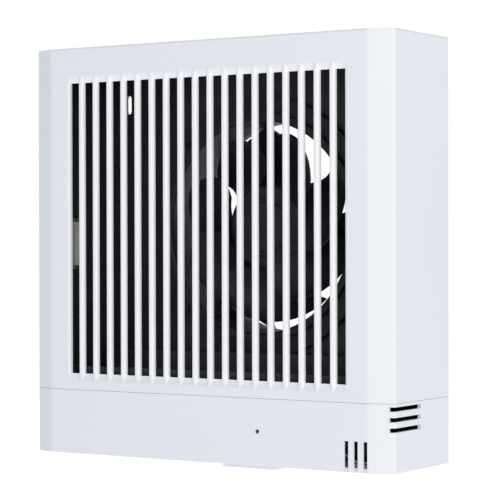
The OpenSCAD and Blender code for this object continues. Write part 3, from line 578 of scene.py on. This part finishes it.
def transformer():
    """Bobbin wound with tape inside a ferrite core, with a pin row at each end."""
    low, high = corners("power_transformer")
    x, z, back = (low.x + high.x) / 2, (low.z + high.z) / 2, high.y
    tape = bmesh.new()
    brick(tape, (x - 8.9, back - 15.8, z - 8.6), (x + 8.9, back - 4, z + 8.6), 1.6)
    piece("transformer_winding", from_bmesh("transformer_winding", tape), "winding_tape")
    core = bmesh.new()
    for bar in (low.z, high.z - 4):
        brick(core, (x - 11, back - 17.9, bar), (x + 11, back - 4.2, bar + 4), 0.5)
    for leg in (x - 10.4, x + 10.4):
        brick(core, (leg - 1.2, back - 13, z - 10), (leg + 1.2, back - 4.4, z + 10), 0.4)
    piece("transformer_core", from_bmesh("transformer_core", core), "magnet")
    bobbin = bmesh.new()
    brick(bobbin, (low.x, back - 4.1, z - 12), (high.x, back - 0.6, z + 12), 0.6)
    piece("transformer_bobbin", from_bmesh("transformer_bobbin", bobbin), "component_black")
    pins = bmesh.new()
    for row in (z - 11, z + 11):
        for i in range(5):
            pin = x - 8 + 4 * i
            brick(pins, (pin - 0.4, back - 0.9, row - 0.4), (pin + 0.4, back, row + 0.4), 0.15)
    piece("transformer_pins", from_bmesh("transformer_pins", pins), "zinc_steel")
    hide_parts("power_transformer")


def capacitors():
    """Electrolytic cans: shrink sleeve with a crimp, bare top with a cross vent."""
    low, high = corners("electrolytic_caps")
    x, back = high.x - 6, high.y
    for i, (z, radius, height) in enumerate(((high.z - 6, 6, 22), (low.z + 5, 5, 16))):
        top, bare = back - height, radius - 1.2
        sleeve = [(radius - 1.5, back), (radius - 0.6, back - 0.2), (radius, back - 1),
                  (radius, back - 3), (radius - 0.5, back - 3.6), (radius, back - 4.2),
                  (radius, top + 0.7), (radius - 0.35, top + 0.15), (radius - 1.1, top),
                  (bare, top + 0.3)]
        can = bmesh.new()
        turned_part(can, (x, z), sleeve)
        piece(f"capacitor_sleeve_{i}", from_bmesh("capacitor_sleeve", can), "capacitor_sleeve")
        lid = bmesh.new()
        out, reach = 0.52 * bare, 0.365 * bare
        for turn in range(4):
            corner = math.radians(90 * turn + 45)
            cx, cz = x + out * math.cos(corner), z + out * math.sin(corner)
            brick(lid, (cx - reach, top + 0.12, cz - reach), (cx + reach, top + 0.5, cz + reach), 0.1)
        rim = bare - 0.05
        turned_part(lid, (x, z), [(0.3, top + 0.2), (rim, top + 0.2), (rim, top + 0.6), (0.3, top + 0.6)])
        piece(f"capacitor_lid_{i}", from_bmesh("capacitor_lid", lid), "zinc_steel")
    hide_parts("electrolytic_caps")


def cartridge_fuse():
    """Glass tube with end caps, its wire, and the two clips that hold it."""
    low, high = corners("fuse")
    y, z = low.y + 2.5, (low.z + high.z) / 2
    x0, x1 = low.x + 1, low.x + 21
    lay_down = Matrix.Rotation(math.radians(-90), 4, "Z")

    def tube(name, parts, slot):
        shape = bmesh.new()
        for profile in parts:
            turned_part(shape, (0, 0), profile, 28)
        mesh = from_bmesh(name, shape)
        mesh.transform(Matrix.Translation(Vector((0, y, z)) * MM) @ lay_down)
        return piece(name, mesh, slot)

    glass = tube("fuse_tube", [[(1.9, x0 + 0.6), (2.25, x0 + 0.6), (2.25, x1 - 0.6), (1.9, x1 - 0.6)]],
                 "fuse_glass")
    caps = [[(0.2, x0), (2.1, x0), (2.5, x0 + 0.4), (2.5, x0 + 5), (2.2, x0 + 5.1)],
            [(2.2, x1 - 5.1), (2.5, x1 - 5), (2.5, x1 - 0.4), (2.1, x1), (0.2, x1)]]
    tube("fuse_caps", caps, "zinc_steel")
    tube("fuse_wire", [[(0.14, x0 + 1), (0.14, x1 - 1)]], "spring_wire")
    base = bmesh.new()
    brick(base, (low.x, high.y - 2.4, low.z), high, 0.4)
    piece("fuse_base", from_bmesh("fuse_base", base), "component_black")
    clips = bmesh.new()
    for x in (x0 + 1, x1 - 4.6):
        for leaf in (z - 2.72, z + 2.72):
            brick(clips, (x, y - 1.6, leaf - 0.18), (x + 3.4, high.y - 1, leaf + 0.18), 0.1)
    piece("fuse_clips", from_bmesh("fuse_clips", clips), "brass")
    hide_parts("fuse")


def small_parts(prefix, spots, chips):
    """Surface-mounted parts with tinned ends, and chips with leads, on the room side of a board.

    Places are from the board's lower left corner, in millimetres.
    """
    corner = corners(prefix + "_board")[0]
    front = corner.y
    bodies, ends = bmesh.new(), bmesh.new()
    for right, above, turned in spots:
        x, z = corner.x + right, corner.z + above
        w, h = (0.8, 1.6) if turned else (1.6, 0.8)
        brick(bodies, (x - w / 2, front - 0.6, z - h / 2), (x + w / 2, front, z + h / 2), 0.08)
        for side in (-0.85, 0.85):
            ex, ez = (x, z + side) if turned else (x + side, z)
            brick(ends, (ex - 0.42, front - 0.5, ez - 0.42), (ex + 0.42, front, ez + 0.42), 0.14)
    for right, above, w, h in chips:
        x, z = corner.x + right, corner.z + above
        brick(bodies, (x - w / 2, front - 1.4, z - h / 2), (x + w / 2, front - 0.15, z + h / 2), 0.15)
        for row in (z - h / 2 - 0.45, z + h / 2 + 0.45):
            for i in range(int(w / 1.27)):
                lead = x - w / 2 + 0.9 + 1.27 * i
                brick(ends, (lead - 0.2, front - 0.6, row - 0.5), (lead + 0.2, front, row + 0.5), 0.08)
    piece(prefix + "_parts", from_bmesh(prefix + "_parts", bodies), "component_black")
    piece(prefix + "_tinning", from_bmesh(prefix + "_tinning", ends), "zinc_steel")


def board_parts():
    """What the three boards carry beside their CAD parts, as (right, above, turned) places."""
    by_the_edge = [(70 + 3.2 * i, 3.5, i % 2) for i in range(9)]
    by_the_header = [(128 + 2.6 * i, 41.5, 1) for i in range(12)]
    in_a_field = [(164 + 4 * i, 18 - 3.4 * j, i % 2) for j in range(3) for i in range(4)]
    in_a_column = [(74, 41 - 3 * i, 0) for i in range(5)]
    small_parts("power", by_the_edge + by_the_header + in_a_field + in_a_column,
                [(132, 30, 6, 4), (168, 37, 8, 4.4)])
    by_the_switch = [(6 + 3 * i, 8.5, 1) for i in range(6)]
    by_the_window = [(42 + 2.8 * i, 19 - 2.6 * j, (i + j) % 2) for i in range(4) for j in range(2)]
    small_parts("control", by_the_switch + by_the_window, [(25, 23, 9, 5)])
    beside_the_chip = [(5, 22 - 3 * i, i % 2) for i in range(4)] + [(18, 24 - 3 * i, 0) for i in range(4)]
    small_parts("sensor", beside_the_chip, [])


def solder_joints():
    """Domes of solder behind the power board, where its parts' wires come through."""
    low, high = corners("power_board")
    terminals = [(15.7 + 7.3 * i, 5) for i in range(3)]
    choke = [(right, above) for right in (39, 53) for above in (20, 34)]
    header = [(61 + 2.2 * i, 32) for i in range(4)]
    bobbin = [(84 + 4 * i, above) for i in range(5) for above in (11, 33)]
    cans = [(113.5 + 5 * i, above) for i in range(2) for above in (19, 35)]
    relay = [(138 + 5 * i, 5) for i in range(4)]
    dome = [(0.25, high.y + 1.1), (0.4, high.y + 0.75), (0.75, high.y + 0.3), (1.15, high.y + 0.02)]
    shape = bmesh.new()
    for right, above in terminals + choke + header + bobbin + cans + relay:
        turned_part(shape, (low.x + right, low.z + above), dome, 14)
    piece("solder_joints", from_bmesh("solder_joints", shape), "zinc_steel")


def key_springs():
    """Two compression springs with closed ends, in place of the CAD springs."""
    low, high = corners("key_springs")
    gauge, turns, steps = 0.22, 7, 20
    coil, length, y = (high.y - low.y) / 2 - gauge, high.z - low.z, (low.y + high.y) / 2
    pitch = (length - 6 * gauge) / (turns - 2)
    for side, x in (("left", low.x + coil + gauge), ("right", high.x - coil - gauge)):
        path = []
        for i in range(turns * steps + 1):
            turn = i / steps
            around = 2 * math.pi * turn
            closed = 2 * gauge * (min(turn, 1) + max(turn - turns + 1, 0))
            rise = gauge + closed + pitch * min(max(turn - 1, 0), turns - 2)
            path.append((x + coil * math.cos(around), y + coil * math.sin(around), low.z + rise))
        spring = piece("key_spring_" + side, wire("spring", path, gauge), "spring_wire")
        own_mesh(spring)
    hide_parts("key_springs")


make_camera()
make_studio()
materials = paint_nodes()
soften_nodes()
line_choke()
transformer()
capacitors()
cartridge_fuse()
board_parts()
solder_joints()
key_springs()
